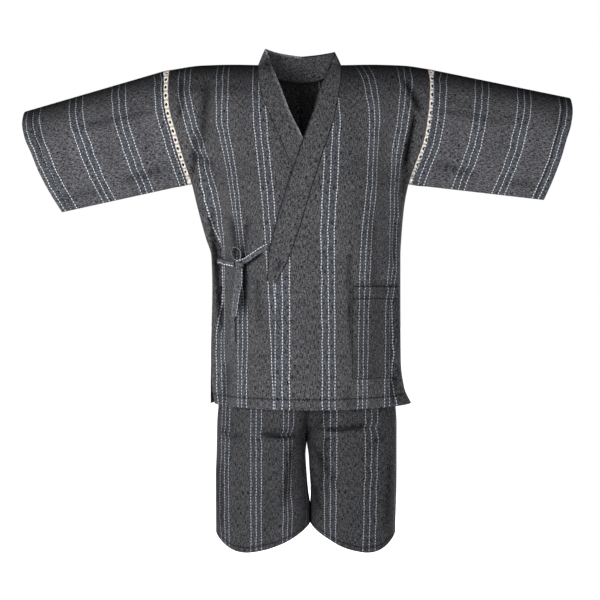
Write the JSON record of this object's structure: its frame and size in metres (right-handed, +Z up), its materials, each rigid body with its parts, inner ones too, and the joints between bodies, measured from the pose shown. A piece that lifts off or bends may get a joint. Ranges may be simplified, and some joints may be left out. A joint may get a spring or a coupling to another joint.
{
  "type": "jinbei jacket and shorts set",
  "caption": "Jinbei pyjama set in its worn, hollow shape: wrapped striped jacket with wide lace-joined sleeves held out level, ties at the side, and knee-length shorts.",
  "frame": {"origin": "middle of the neck at shoulder height, where the wearer's shoulders hold the jacket", "axes": "+Z up, the front faces -Y, +X towards the wearer's left sleeve"},
  "size_m": [1.1927, 0.2496, 1.0927],
  "materials": {
    "striped_cotton": "crinkled woven cotton, matt, charcoal with white dotted stripes",
    "plain_cotton": "woven cotton, matt, plain charcoal",
    "cotton_lace": "cotton openwork tape, cream"
  },
  "bodies": {
    "root": {"body_left": "striped_cotton", "body_right": "striped_cotton", "sleeve_left": "striped_cotton", "sleeve_right": "striped_cotton", "lace_left_front": "cotton_lace", "lace_left_back": "cotton_lace", "lace_right_front": "cotton_lace", "lace_right_back": "cotton_lace", "collar_left": "plain_cotton", "collar_right": "plain_cotton", "pocket": "striped_cotton", "tie_front": "striped_cotton", "tie_side": "striped_cotton", "tie_tail_wide": "striped_cotton", "tie_tail_narrow": "striped_cotton", "tie_loop": "striped_cotton", "tie_knot": "striped_cotton", "leg_left": "striped_cotton", "leg_right": "striped_cotton", "waistband": "plain_cotton"}
  },
  "joints": []
}
